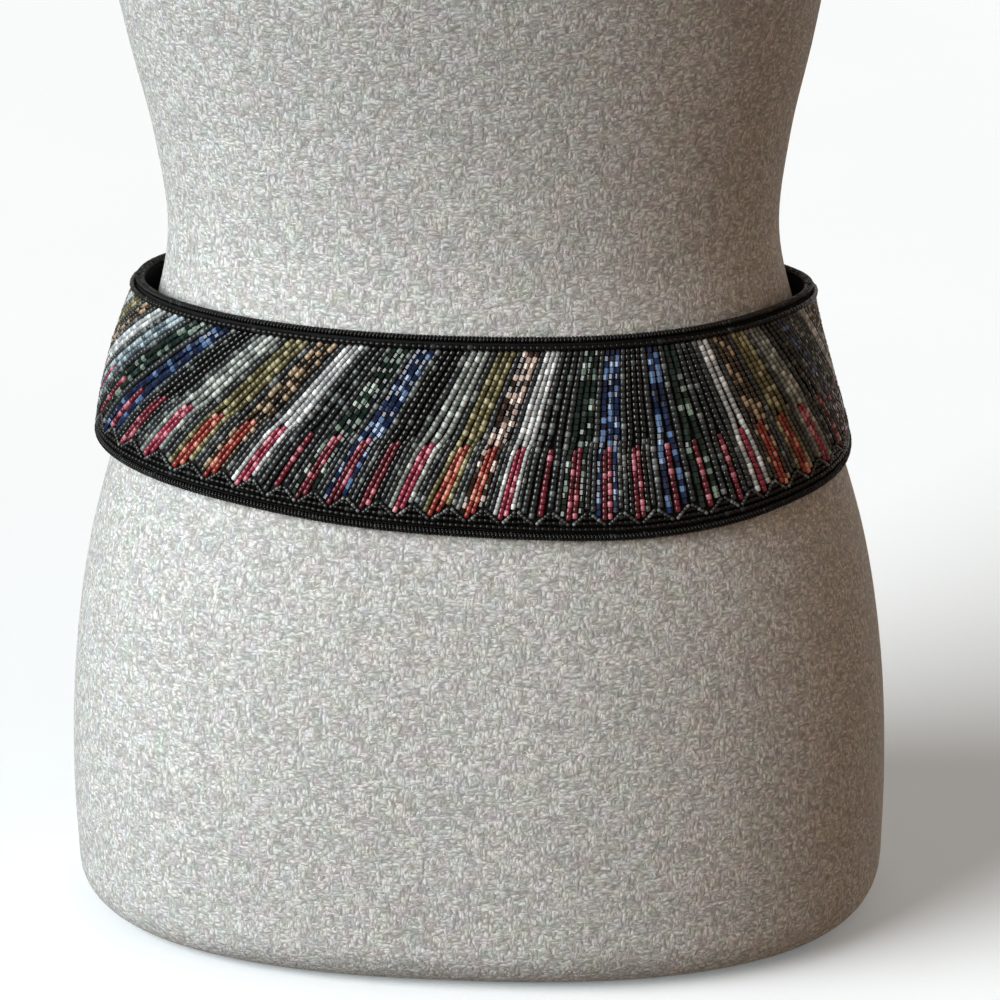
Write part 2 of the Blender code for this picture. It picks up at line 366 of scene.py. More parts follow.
# Share of beads with a painted highlight, roughness, gloss, and whether a bead is cut flat as crystal
# is.
BEAD_SURFACES = {
    "jet": (0.04, 0.34, 0.22, False),
    "black": (0.08, 0.26, 0.50, False),
    "blue": (0.22, 0.20, 0.50, True),
    "green": (0.17, 0.20, 0.50, True),
    "charcoal": (0.14, 0.26, 0.50, False),
    "white": (0.30, 0.24, 0.45, False),
    "copper": (0.38, 0.20, 0.50, True),
    "gold": (0.30, 0.24, 0.45, False),
    "silver": (0.32, 0.24, 0.45, False),
    "outline": (0.14, 0.28, 0.45, False),
    "rose": (0.20, 0.24, 0.45, False),
    "coral": (0.20, 0.24, 0.45, False),
    "crimson": (0.20, 0.24, 0.45, False),
    "brown": (0.30, 0.22, 0.50, False),
    "pale_blue": (0.30, 0.24, 0.45, False),
}
# Pieces that aren't called after their finish alone
BEAD_NAMES = {
    "jet": "beads_border_black",
    "outline": "beads_dim_grey",
    "rose": "beads_rose_red",
    "coral": "beads_coral_red",
    "crimson": "beads_crimson",
}
SEED = 7
ROPE_SEED = 63

# Lights, one row each: name, turn round from the front and height in degrees, strength, spread in
# degrees, colour. Then the dim room round them.
LIGHTS = (
    ("key_left", -56.0, 23.5, 5.62, 52.0, (0.95, 1.0, 1.0)),
    ("fill_right", 62.0, 14.0, 0.70, 110.0, (1.0, 0.60, 0.36)),
    ("fill_back", 178.0, 7.0, 0.80, 70.0, (1.0, 0.97, 0.93)),
)
ROOM_COLOUR = (1.0, 0.86, 0.72, 1.0)
ROOM_STRENGTH = 0.15

# Floor and backdrop
FLOOR_HALF_SIZE = 6.0
FLOOR_GLOW = (0.062, 0.096, 0.112)
BACKDROP_RADIUS = 5.8
BACKDROP_HEIGHT = 8.0
BACKDROP_MIDDLE = 3.9
BACKDROP_SIDES = 64
BACKDROP_GLOW = (0.74, 0.78, 0.80)

# Camera at the photograph's angle, in degrees where it isn't a place or a lens
CAMERA_PLACE = (0.213445, -1.619020, 0.689)
CAMERA_TURN = 7.17
CAMERA_TILT = 17.77
CAMERA_ROLL = -0.64
CAMERA_LENS = 151.27
SENSOR_WIDTH = 36.0


# Places on the form and the belt


def smooth_step(value):
    """0 below 0, 1 above 1, and an even rise between."""
    value = np.clip(value, 0.0, 1.0)
    return value * value * (3.0 - 2.0 * value)


def with_slopes(table):
    """A table's first column, its other columns, and how fast those change at each row."""
    rows = np.array(table)
    return rows[:, 0], rows[:, 1:], np.gradient(rows[:, 1:], rows[:, 0], axis=0)


def between_rows(table, place):
    """The other columns, each as an array, at places in the first, on a smooth curve."""
    places, values, slopes = table
    place = np.clip(np.asarray(place, float), places[0], places[-1])
    i = np.clip(np.searchsorted(places, place) - 1, 0, len(places) - 2)
    span = places[i + 1] - places[i]
    t = (place - places[i]) / span
    first, bend_first = (1 + 2 * t) * (1 - t) ** 2, span * t * (1 - t) ** 2
    second, bend_second = t * t * (3 - 2 * t), span * t * t * (t - 1)
    return [
        values[i, k] * first + slopes[i, k] * bend_first
        + values[i + 1, k] * second + slopes[i + 1, k] * bend_second
        for k in range(values.shape[1])
    ]


FORM_TABLE = with_slopes(FORM_LEVELS)
EDGE_TABLE = with_slopes(BELT_EDGES)
STAND_OFF_TABLE = with_slopes(SIDE_STAND_OFF)
SECTION_TABLE = with_slopes(SECTIONS)


def skin_points(turn, height, inset=0.0):
    """Points on the form's side, or that far in from it on a ring drawn smaller."""
    half_width, front, back, squareness = between_rows(FORM_TABLE, height)
    across = np.sin(np.radians(turn))
    ahead = np.cos(np.radians(turn))
    depth = np.where(ahead > 0, front, back)
    x = (half_width - inset) * np.sign(across) * np.abs(across) ** (2 / squareness)
    y = (depth - inset) * -np.sign(ahead) * np.abs(ahead) ** (2 / squareness)
    return np.stack([x, y, np.broadcast_to(height, x.shape)], axis=-1)


def outward(turn, height):
    """The directions straight out of the form's side."""
    around = skin_points(turn + SLOPE_TURN, height) - skin_points(turn - SLOPE_TURN, height)
    upward = skin_points(turn, height + SLOPE_HEIGHT) - skin_points(turn, height - SLOPE_HEIGHT)
    normal = np.cross(around, upward)
    return normal / np.linalg.norm(normal, axis=-1, keepdims=True)


def belt_edges(turn):
    """Heights of the belt's top and bottom edges."""
    return between_rows(EDGE_TABLE, turn)


def stand_off(turn, height):
    """How far the belt stands off the form, beyond FORM_GAP: at the sides, and where it laps."""
    top, bottom = belt_edges(turn)
    left, right = between_rows(STAND_OFF_TABLE, (top - height) / (top - bottom))
    across = np.sin(np.radians(turn))
    side = np.where(across > 0, right, left) * np.abs(across) ** SIDE_POWER
    lift = smooth_step((turn - LIFT_START_TURN) / (LIFT_FULL_TURN - LIFT_START_TURN))
    return side + (WALL + LAP_GAP) * lift


def belt_points(turn, height, out):
    """Points of the belt at that distance out from the inner face of its lining."""
    distance = FORM_GAP + stand_off(turn, height) + out
    return skin_points(turn, height) + np.expand_dims(distance, -1) * outward(turn, height)


def panel_edges(turn):
    """Heights between which the panel shows, clear of the edge ropes."""
    top, bottom = belt_edges(turn)
    return top - TOP_ROPE_HEIGHT - SEAM_GAP, bottom + BOTTOM_ROPE_HEIGHT + SEAM_GAP


def cloth_edges(turn):
    """Heights of the cloth's edges, which the cords of the ropes hide."""
    top, bottom = panel_edges(turn)
    return top + HIDDEN_EDGE, bottom - HIDDEN_EDGE


def distances_along(points):
    """Distance of each point of a line from its first, measured along the line."""
    steps = np.linalg.norm(np.diff(points, axis=0), axis=1)
    return np.concatenate([[0.0], np.cumsum(steps)])


# Materials


def add_node(tree, kind, inputs=(), **settings):
    """A node with its settings. Its inputs are numbers, or the outputs of other nodes."""
    made = tree.nodes.new(kind)
    for name, value in settings.items():
        setattr(made, name, value)
    for name, value in dict(inputs).items():
        if isinstance(value, bpy.types.NodeSocket):
            tree.links.new(value, made.inputs[name])
        else:
            made.inputs[name].default_value = value
    return made


def new_material(name):
    """A material and its tree, with only the shader and the output left in it."""
    material = bpy.data.materials.new(name)
    material.use_nodes = True
    return material, material.node_tree, material.node_tree.nodes["Principled BSDF"]


def ramp(tree, value, stops):
    """Colours along a value, as rows of place and colour."""
    made = add_node(tree, "ShaderNodeValToRGB", {"Fac": value})
    elements = made.color_ramp.elements
    while len(elements) < len(stops):
        elements.new(0.5)
    for element, (place, colour) in zip(elements, stops):
        element.position = place
        element.color = (*colour, 1.0)
    return made.outputs["Color"]


def mixed(tree, share, first, second, blend="MIX"):
    """Two colours mixed, the second by that share. The node's colours are its sockets 6 and 7."""
    made = tree.nodes.new("ShaderNodeMix")
    made.data_type = "RGBA"
    made.blend_type = blend
    for i, value in ((0, share), (6, first), (7, second)):
        if isinstance(value, bpy.types.NodeSocket):
            tree.links.new(value, made.inputs[i])
        else:
            made.inputs[i].default_value = value
    return made.outputs[2]


def noise_pattern(tree, place, scale, detail):
    """Cloudy noise, with that many finer layers over it."""
    return add_node(tree, "ShaderNodeTexNoise", {"Vector": place, "Scale": scale, "Detail": detail})


def vector_math(tree, operation, *vectors):
    """The vector that comes of others."""
    made = add_node(tree, "ShaderNodeVectorMath", dict(enumerate(vectors)), operation=operation)
    return made.outputs["Vector"]


def form_cloth():
    """Looped grey-beige yarn cloth: loops across or upright, painted shade between, painted glints on
    its shining thread.
    """
    material, tree, shader = new_material("looped_cloth")
    place = add_node(tree, "ShaderNodeTexCoord").outputs["Object"]
    drift = noise_pattern(tree, place, DRIFT_SCALE, 1.0).outputs["Color"]
    drawn = vector_math(tree, "MULTIPLY_ADD", drift, (DRIFT_DISTANCE,) * 3, place)
    patch = noise_pattern(tree, place, PATCH_SCALE, 0.0).outputs["Fac"]
    upright = add_node(tree, "ShaderNodeMath", {0: patch, 1: 0.5}, operation="GREATER_THAN")
    stretch = mixed(tree, upright.outputs["Value"], LOOPS_ACROSS, LOOPS_UPRIGHT)
    loop_place = vector_math(tree, "MULTIPLY", drawn, stretch)
    loop = add_node(tree, "ShaderNodeTexVoronoi", {"Vector": loop_place, "Scale": LOOP_SCALE})
    shade = add_node(tree, "ShaderNodeSeparateColor", {"Color": loop.outputs["Color"]}).outputs["Red"]
    hollow = loop.outputs["Distance"]
    strand_place = vector_math(tree, "MULTIPLY", loop_place, stretch)
    strand = noise_pattern(tree, strand_place, STRAND_SCALE, 2.0).outputs["Fac"]
    yarn = ramp(tree, mixed(tree, 0.38, shade, strand), (
        (0.16, YARN_DARK), (0.48, YARN_PLAIN), (0.80, YARN_LIGHT),
    ))
    # Painted shade: the yarn darkens towards the edge of each loop, in the hollows between loops
    depth = ramp(tree, hollow, ((0.30, (0, 0, 0)), (0.85, (0.80,) * 3)))
    shaded = mixed(tree, depth, yarn, PAINTED_HOLLOW_SHADE)
    tint = noise_pattern(tree, place, TINT_SCALE, 0.0).outputs["Color"]
    tinted = mixed(tree, 0.07, shaded, tint, "OVERLAY")
    # Painted glints: rare specks of the shining thread turn near white in colour, and are also less
    # rough
    spark_place = vector_math(tree, "MULTIPLY", drawn, SPARKS_ACROSS)
    spark = add_node(tree, "ShaderNodeTexVoronoi", {"Vector": spark_place, "Scale": SPARK_SCALE})
    spark_tone = add_node(tree, "ShaderNodeSeparateColor", {"Color": spark.outputs["Color"]})
    shining = ramp(tree, spark_tone.outputs["Red"], ((0.965, (0, 0, 0)), (0.985, (0.8,) * 3)))
    tree.links.new(mixed(tree, shining, tinted, PAINTED_GLINT_COLOUR), shader.inputs["Base Color"])
    rough = ramp(tree, shining, ((0.0, (0.65,) * 3), (1.0, (0.34,) * 3)))
    tree.links.new(rough, shader.inputs["Roughness"])
    shader.inputs["Sheen Weight"].default_value = 0.08
    raised = mixed(tree, 0.35, ramp(tree, hollow, ((0.0, (1,) * 3), (0.9, (0,) * 3))), strand)
    bump = add_node(tree, "ShaderNodeBump", {"Strength": 0.6, "Distance": 0.0006, "Height": raised})
    tree.links.new(bump.outputs["Normal"], shader.inputs["Normal"])
    return material


def plain_weave(name, colour, waves):
    """Woven cloth on its piece's own map: threads over and under, painted shade in their dips and
    highlight on crests.
    """
    material, tree, shader = new_material(name)
    place = add_node(tree, "ShaderNodeUVMap").outputs["UV"]
    threads = []
    for direction in ("X", "Y"):
        wave = add_node(tree, "ShaderNodeTexWave", {
            "Vector": place, "Scale": waves, "Distortion": 0.6,
            "Detail": 1.0, "Detail Scale": 2.0,
        }, bands_direction=direction)
        threads.append(wave.outputs["Fac"])
    height = mixed(tree, 0.5, *threads)
    # Painted shade and highlight: the cloth is darker where its threads dip and lighter on their crests
    shade = ramp(tree, height, (
        (0.2, tuple(0.5 * c for c in colour)),
        (0.8, tuple(1.5 * c for c in colour)),
    ))
    tree.links.new(shade, shader.inputs["Base Color"])
    shader.inputs["Roughness"].default_value = 0.9
    shader.inputs["Specular IOR Level"].default_value = 0.2
    bump = add_node(tree, "ShaderNodeBump", {"Strength": 0.6, "Distance": 0.0002, "Height": height})
    tree.links.new(bump.outputs["Normal"], shader.inputs["Normal"])
    return material


def bead_glass(finish):
    """Lined glass. Each bead's own tone picks how deep its colour is, or that it has a painted
    highlight.
    """
    deep, plain, painted_highlight = BEAD_COLOURS[finish]
    _, roughness, gloss, _ = BEAD_SURFACES[finish]
    material, tree, shader = new_material("glass_" + finish)
    tone = add_node(tree, "ShaderNodeAttribute", attribute_name="tone").outputs["Fac"]
    place = add_node(tree, "ShaderNodeTexCoord").outputs["Object"]
    cloud = noise_pattern(tree, place, 900.0, 1.0).outputs["Fac"]
    uneven = mixed(tree, 0.10, tone, cloud)
    # Painted highlight: the top tones run through a half tone to the colour of a bead that catches the
    # light
    half_painted_highlight = tuple(0.5 * (a + b) for a, b in zip(plain, painted_highlight))
    colour = ramp(tree, uneven, ((0.10, deep), (0.62, plain), (0.74, half_painted_highlight), (0.90, painted_highlight)))
    tree.links.new(colour, shader.inputs["Base Color"])
    shader.inputs["Roughness"].default_value = roughness
    shader.inputs["Specular IOR Level"].default_value = gloss
    return material


def stud_metal():
    """Nickel with fine turned marks and a little tarnish."""
    material, tree, shader = new_material("nickel")
    place = add_node(tree, "ShaderNodeTexCoord").outputs["Object"]
    cloud = noise_pattern(tree, place, 500.0, 4.0).outputs["Fac"]
    colour = ramp(tree, cloud, ((0.35, (0.28, 0.27, 0.25)), (0.65, (0.55, 0.55, 0.54))))
    tree.links.new(colour, shader.inputs["Base Color"])
    rough = ramp(tree, cloud, ((0.3, (0.42,) * 3), (0.7, (0.24,) * 3)))
    tree.links.new(rough, shader.inputs["Roughness"])
    shader.inputs["Metallic"].default_value = 1.0
    bump = add_node(tree, "ShaderNodeBump", {"Strength": 0.3, "Distance": 0.0001, "Height": cloud})
    tree.links.new(bump.outputs["Normal"], shader.inputs["Normal"])
    return material


def pale_paint(name, glow):
    """Plain pale paint with the faintest cloud in it, and a little light of its own."""
    material, tree, shader = new_material(name)
    place = add_node(tree, "ShaderNodeTexCoord").outputs["Object"]
    cloud = noise_pattern(tree, place, 3.0, 2.0).outputs["Fac"]
    colour = ramp(tree, cloud, ((0.3, (0.92, 0.92, 0.94)), (0.7, (0.94, 0.94, 0.96))))
    tree.links.new(colour, shader.inputs["Base Color"])
    shader.inputs["Roughness"].default_value = 0.9
    shader.inputs["Emission Color"].default_value = (*glow, 1.0)
    shader.inputs["Emission Strength"].default_value = 1.0
    material.cycles.emission_sampling = "NONE"
    return material


# Shapes


def curved_sheet(columns, rows, place):
    """A grid laid on a surface. place turns shares across and up into points."""
    mesh = bmesh.new()
    mesh.loops.layers.uv.new("cloth")
    bmesh.ops.create_grid(mesh, x_segments=columns, y_segments=rows, size=0.5, calc_uvs=True)
    shares = np.array([vertex.co[:2] for vertex in mesh.verts]) + 0.5
    for vertex, point in zip(mesh.verts, place(shares[:, 0], shares[:, 1])):
        vertex.co = point
    return mesh


def finished_piece(name, mesh, material):
    """The object of a mesh, in its material."""
    data = bpy.data.meshes.new(name)
    mesh.to_mesh(data)
    mesh.free()
    data.materials.append(material)
    for face in data.polygons:
        face.use_smooth = True
    piece = bpy.data.objects.new(name, data)
    bpy.context.scene.collection.objects.link(piece)
    return piece


def form_levels():
    """Rings of the form from the base up: height, level that they are read at, distance in."""
    base, neck = FORM_LEVELS[0][0], FORM_LEVELS[-1][0]
    rings = []
    for angle in np.linspace(math.pi / 2, 0, ROUNDING_STEPS, endpoint=False):
        height = BASE_ROUNDING * (1 - math.sin(angle))
        rings.append((height, base, BASE_ROUNDING * (1 - math.cos(angle))))
    side_top = neck - NECK_ROUNDING
    for height in np.linspace(base, side_top, round((side_top - base) / FORM_STEP)):
        rings.append((height, height, 0.0))
    for angle in np.linspace(0, math.pi / 2, ROUNDING_STEPS + 1)[1:]:
        height = side_top + NECK_ROUNDING * math.sin(angle)
        rings.append((height, neck, NECK_ROUNDING * (1 - math.cos(angle))))
    return np.array(rings)


def closed(mesh):
    """A mesh with its seam joined, its two open ends filled, and its faces outward."""
    bmesh.ops.remove_doubles(mesh, verts=mesh.verts, dist=MERGE_DISTANCE)
    open_edges = [edge for edge in mesh.edges if edge.is_boundary]
    bmesh.ops.holes_fill(mesh, edges=open_edges, sides=0)
    bmesh.ops.recalc_face_normals(mesh, faces=mesh.faces)
    return mesh


def make_form():
    """The torso, whole and closed, in its looped cloth."""
    levels = form_levels()

    def place(across, up):
        height, read_at, inset = levels[np.rint(up * (len(levels) - 1)).astype(int)].T
        points = skin_points(across * 360.0 - 180.0, read_at, inset)
        points[:, 2] = height
        return points

    mesh = closed(curved_sheet(FORM_COLUMNS, len(levels) - 1, place))
    form = finished_piece("form_torso", mesh, form_cloth())
    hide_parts("dress_form")
    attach(form, "root")


# Beads


def bead_shape(name, radius, length, cut):
    """One bead along X, six-sided with its ends rounded over, to be repeated."""
    mesh = bmesh.new()
    rounding = radius * BEAD_END_ROUNDING
    bmesh.ops.create_cone(
        mesh, cap_ends=True, cap_tris=False, segments=BEAD_SIDES, radius1=radius, radius2=radius,
        depth=length - 2 * rounding, matrix=Matrix.Rotation(math.pi / 2, 4, "Y"),
    )
    ends = [face for face in mesh.faces if len(face.verts) == BEAD_SIDES]
    bmesh.ops.inset_individual(mesh, faces=ends, thickness=rounding, depth=rounding)
    data = bpy.data.meshes.new(name)
    mesh.to_mesh(data)
    mesh.free()
    for face in data.polygons:
        face.use_smooth = not cut
    return bpy.data.objects.new(name, data)


def repeat_on_points():
    """A node group that sets a bead on every point, turned and sized by its attributes, as one mesh."""
    group = bpy.data.node_groups.new("beads_on_points", "GeometryNodeTree")
    group.interface.new_socket("Points", in_out="INPUT", socket_type="NodeSocketGeometry")
    group.interface.new_socket("Bead", in_out="INPUT", socket_type="NodeSocketObject")
    group.interface.new_socket("Beads", in_out="OUTPUT", socket_type="NodeSocketGeometry")
    given = group.nodes.new("NodeGroupInput")
    shape = add_node(group, "GeometryNodeObjectInfo", {"Object": given.outputs["Bead"]})
    turned, sized = (
        add_node(group, "GeometryNodeInputNamedAttribute", {"Name": name}, data_type=kind)
        for name, kind in (("turned", "QUATERNION"), ("sized", "FLOAT_VECTOR"))
    )
    set_on = add_node(group, "GeometryNodeInstanceOnPoints", {
        "Points": given.outputs["Points"], "Instance": shape.outputs["Geometry"],
        "Rotation": turned.outputs["Attribute"], "Scale": sized.outputs["Attribute"],
    })
    joined = add_node(group, "GeometryNodeRealizeInstances", {"Geometry": set_on.outputs["Instances"]})
    result = group.nodes.new("NodeGroupOutput")
    group.links.new(joined.outputs["Geometry"], result.inputs["Beads"])
    return group


class BeadStock:
    """What the beadwork is made from: its beads, their glass, the thread and how beads are set."""

    def __init__(self):
        self.setting = repeat_on_points()
        self.cut = bead_shape("cut_bead", BEAD_RADIUS, BEAD_LENGTH, True)
        self.round = bead_shape("round_bead", BEAD_RADIUS, BEAD_LENGTH, False)
        self.small = bead_shape("small_bead", SMALL_BEAD_RADIUS, SMALL_BEAD_LENGTH, False)
        self.glass = {finish: bead_glass(finish) for finish in BEAD_COLOURS}
        self.thread = plain_weave("black_thread", CORD_COLOUR, CORD_WAVES)


class BeadRows:
    """Rows of beads of one piece, collected row by row and then made into one mesh."""

    def __init__(self, seed):
        self.random = np.random.default_rng(seed)
        self.centres = []
        self.turned = []
        self.sized = []
        self.tones = []

    def lay(self, turns, heights, outs, pitch, width, share):
        """Beads end to end along a line of turns, heights and distances out, if it has a length."""
        if len(turns) < 2:
            return
        outs = np.broadcast_to(outs, np.shape(turns))
        widths = np.broadcast_to(width, np.shape(turns))
        line = belt_points(turns, heights, outs)
        run = distances_along(line)
        count = max(1, round(run[-1] / pitch))
        step = run[-1] / count
        at = (np.arange(count) + 0.5) * step
        turn, height, out, thick = (
            np.interp(at, run, values) for values in (turns, heights, outs, widths)
        )
        centre = belt_points(turn, height, out)
        ends = [
            np.stack([np.interp(at + side, run, line[:, k]) for k in range(3)], axis=-1)
            for side in (-AXIS_REACH * step, AXIS_REACH * step)
        ]
        normals = outward(turn, height)
        for point, start, end, normal, thickness in zip(centre, *ends, normals, thick):
            self.add(
                Vector(point), Vector(end - start), Vector(normal), step / pitch, thickness, share,
            )

    def add(self, centre, along, normal, stretch, width, share):
        """One bead, its axis along its row, a little off in tilt, roll, size and place."""
        wobble = self.random.normal(0.0, 1.0, 6)
        side = normal.cross(along).normalized()
        tilt = side * SIDE_TILT * wobble[0] + normal * OUT_TILT * wobble[1]
        along = (along.normalized() + tilt).normalized()
        side = normal.cross(along).normalized()
        facing = Matrix((along, side, along.cross(side))).transposed().to_quaternion()
        roll = Quaternion((1.0, 0.0, 0.0), self.random.uniform(0.0, math.tau))
        self.centres.append(centre + side * SIDE_SHIFT * wobble[2] + normal * OUT_SHIFT * wobble[3])
        self.turned.append(facing @ roll)
        thick = width * (1.0 + THICKNESS_SPREAD * wobble[4])
        self.sized.append((stretch * (USUAL_LENGTH + LENGTH_SPREAD * wobble[5]), thick, thick))
        # Some beads, more of them in clusters, get a tone that paints a highlight on them
        cluster = 0.5 + noise.noise(centre * CLUSTERS_PER_METRE)
        painted_highlight = self.random.uniform() < share * (LONE_BEADS + CLUSTERED_BEADS * cluster)
        self.tones.append(self.random.uniform(*(PAINTED_HIGHLIGHT_TONES if painted_highlight else PLAIN_TONES)))

    def points(self, name):
        """The points that the beads are set on, each with its turn, its size and its tone."""
        data = bpy.data.meshes.new(name)
        data.from_pydata(self.centres, [], [])
        for label, kind, field, values in (
            ("turned", "QUATERNION", "value", self.turned),
            ("sized", "FLOAT_VECTOR", "vector", self.sized),
            ("tone", "FLOAT", "value", self.tones),
        ):
            attribute = data.attributes.new(label, kind, "POINT")
            attribute.data.foreach_set(field, np.array(values, np.float32).ravel())
        points = bpy.data.objects.new(name + "_points", data)
        bpy.context.scene.collection.objects.link(points)
        return points

    def make(self, name, shape, stock, finish, cord=None):
        """The piece of all these beads, with the cord that they are wrapped over."""
        points = self.points(name)
        modifier = points.modifiers.new("Beads", "NODES")
        modifier.node_group = stock.setting
        modifier[stock.setting.interface.items_tree["Bead"].identifier] = shape
        evaluated = points.evaluated_get(bpy.context.evaluated_depsgraph_get())
        made = bpy.data.meshes.new_from_object(evaluated)
        made.name = name
        bpy.data.objects.remove(points)
        for label in ("turned", "sized"):
            if label in made.attributes:
                made.attributes.remove(made.attributes[label])
        made.materials.clear()
        made.materials.append(stock.glass[finish])
        piece = bpy.data.objects.new(name, made)
        bpy.context.scene.collection.objects.link(piece)
        if cord:
            join_cord(piece, cord)
        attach(piece, "root")
        return piece


def spread_of_rows(down):
    """0 where a section has the rows of its top, 1 where it has those of its tip."""
    return smooth_step((down - ROWS_SPREAD_FROM) / (ROWS_SPREAD_TO - ROWS_SPREAD_FROM))


def section_line(number, down):
    """A line down the fan as turns and heights, for shares of the way down."""
    turn_top, turn_tip = between_rows(SECTION_TABLE, number)
    turns = turn_top + (turn_tip - turn_top) * (down + SECTION_BOW * down * (1 - down))
    top = panel_edges(turns)[0] - FIELD_TOP_DROP
    tip = belt_edges(turns)[1] + TIP_RISE
    return turns, top + (tip - top) * down


def within_belt(turns, *others):
    """The stretch of a line that lies between the belt's two ends, which may be empty."""
    inside = (turns > START_TURN + END_MARGIN) & (turns < END_TURN - END_MARGIN)
    return [values[inside] for values in (turns, *others)]


def section_widths(number, down):
    """Widths of a section square to its rows, on the belt's face."""
    left, middle, right = (
        belt_points(*section_line(number + side, down), BEAD_OUT) for side in (-0.5, 0.0, 0.5)
    )
    along = np.gradient(middle, axis=0)
    along /= np.linalg.norm(along, axis=1, keepdims=True)
    across = right - left
    across -= np.sum(across * along, axis=1, keepdims=True) * along
    return np.linalg.norm(across, axis=1)


def plan_section(widths, spread):
    """The rows of a section of these widths, and the thickness of its beads down it."""
    plan, at_top, at_tip = next(
        (plan, at_top, at_tip) for plan, at_top, at_tip, least in ROW_PLANS
        if min(widths[0] / at_top, widths[-1] / at_tip) >= least
    )
    room = widths / (at_top + (at_tip - at_top) * spread)
    return plan, np.clip(room / (2 * BEAD_RADIUS), THINNEST_BEAD, THICKEST_BEAD)


def lowest_share(number, place):
    """How far down its section a row runs before it comes to the edge of the section's point."""
    down = np.linspace(LOWEST_SEARCHED, 1.0, SEARCH_STEPS)
    turns, heights = section_line(number + place, down)
    across = np.linspace(-0.5, 0.5, EDGE_STEPS)
    edge_rise = 2 * np.minimum(0.5, np.abs(across) + ROW_CORNER) * NOTCH_DEPTH
    edge = np.interp(turns, between_rows(SECTION_TABLE, number + across)[1], edge_rise)
    room = heights - belt_edges(turns)[1] - TIP_RISE - edge
    return down[room > POINT_CLEARANCE][-1]


def lay_section(rows, number):
    """All rows of one section: its colour, the red wedge, the dim rows beside it and the point."""
    colour = ODD_SECTIONS.get(number, COLOUR_ROUND[abs(number) % len(COLOUR_ROUND)])
    finishes = {"colour": colour, "red": WEDGE_REDS.get(colour, "crimson"), "outline": "outline"}
    whole = np.linspace(0.0, 1.0, LINE_STEPS)
    plan, thickness = plan_section(section_widths(number, whole), spread_of_rows(whole))
    for kind, place_top, place_tip, start, end in plan:
        finish = finishes[kind]
        down = np.linspace(start, min(end, lowest_share(number, place_tip)), LINE_STEPS)
        place = place_top + (place_tip - place_top) * spread_of_rows(down)
        thick = np.interp(down, whole, thickness)
        turns, heights, thick = within_belt(*section_line(number + place, down), thick)
        rows[finish].lay(turns, heights, BEAD_OUT, BEAD_PITCH, thick, BEAD_SURFACES[finish][0])
    for side in (-POINT_EDGE, POINT_EDGE):
        across = np.linspace(side, POINT_GAP * side, POINT_STEPS)
        turns = between_rows(SECTION_TABLE, number + across)[1]
        heights = belt_edges(turns)[1] + TIP_RISE + 2 * np.abs(across) * NOTCH_DEPTH
        line = within_belt(turns, heights)
        rows["points"].lay(*line, BEAD_OUT + POINT_LIFT, POINT_BEAD_PITCH, 1.0, POINT_SHARE)


def lay_notch(rows, number):
    """Black beads that fill the gap between the points of two sections."""
    for rise in NOTCH_ROW_RISES:
        half = 0.5 * (1 - rise / NOTCH_DEPTH) - NOTCH_CORNER
        places = number + 0.5 + np.linspace(-half, half, POINT_STEPS)
        turns = between_rows(SECTION_TABLE, places)[1]
        line = within_belt(turns, belt_edges(turns)[1] + TIP_RISE + rise)
        rows["jet"].lay(*line, BEAD_OUT, BEAD_PITCH, BLACK_BEAD_WIDTH, BLACK_SHARE)


def lay_field(rows):
    """The whole face of the belt, with a black row under the points and one up each end."""
    for number in range(int(SECTIONS[0][0]) + 1, int(SECTIONS[-1][0])):
        lay_section(rows, number)
        lay_notch(rows, number)
    turns = np.linspace(START_TURN + LOW_ROW_INSET, END_TURN - LOW_ROW_INSET, CLOTH_COLUMNS)
    heights = belt_edges(turns)[1] + TIP_RISE - LOW_ROW_DROP
    rows["jet"].lay(turns, heights, BEAD_OUT, BEAD_PITCH, BLACK_BEAD_WIDTH, BLACK_SHARE)
    for turn in (START_TURN + END_ROW_INSET, END_TURN - END_ROW_INSET):
        turns = np.full(END_ROW_STEPS, turn)
        top, bottom = panel_edges(turns)
        heights = np.linspace(top[0] - FIELD_TOP_DROP, bottom[0] + END_ROW_DROP, END_ROW_STEPS)
        rows["jet"].lay(turns, heights, BEAD_OUT, BEAD_PITCH, BLACK_BEAD_WIDTH, BLACK_SHARE)


def top_rope_middle(turn):
    """Height of the middle of the rope along the top edge."""
    return belt_edges(turn)[0] - TOP_ROPE_HEIGHT / 2


def bottom_rope_middle(turn):
    """Height of the middle of the rope along the bottom edge."""
    return belt_edges(turn)[1] + BOTTOM_ROPE_HEIGHT / 2


def ridge_middle(turn):
    """Height of the middle of the second ridge, on the face of the panel."""
    return panel_edges(turn)[0] - SEAM_GAP - FACE_ROPE_HEIGHT / 2


class Cord:
    """The cord inside a rolled edge, thinner than its rope by the beads that are wrapped over it."""

    def __init__(self, middle, height, depth):
        self.middle = middle
        self.half_height = height / 2 - SMALL_BEAD_RADIUS
        self.half_depth = depth / 2 - SMALL_BEAD_RADIUS

    def points(self, turn, middle, angle):
        """Points on the cord, where its middle is that high. An angle of 0 faces outward, tau / 4 up."""
        height = middle + self.half_height * np.sin(angle)
        return belt_points(turn, height, CORD_OUT + self.half_depth * np.cos(angle))

    def make(self, material):
        """The cord itself, with closed ends."""

        def place(across, up):
            turn = START_TURN + across * (END_TURN - START_TURN)
            return self.points(turn, self.middle(turn), up * math.tau)

        return finished_piece("cord", closed(curved_sheet(CLOTH_COLUMNS, CORD_SIDES, place)), material)


def join_cord(piece, cord):
    """The cord under the beads becomes part of their mesh."""
    piece.data.materials.append(cord.data.materials[0])
    mesh = bmesh.new()
    mesh.from_mesh(piece.data)
    first_of_cord = len(mesh.faces)
    mesh.from_mesh(cord.data)
    mesh.faces.ensure_lookup_table()
    for face in mesh.faces[first_of_cord:]:
        face.material_index = 1
    mesh.to_mesh(piece.data)
    mesh.free()
    bpy.data.objects.remove(cord)


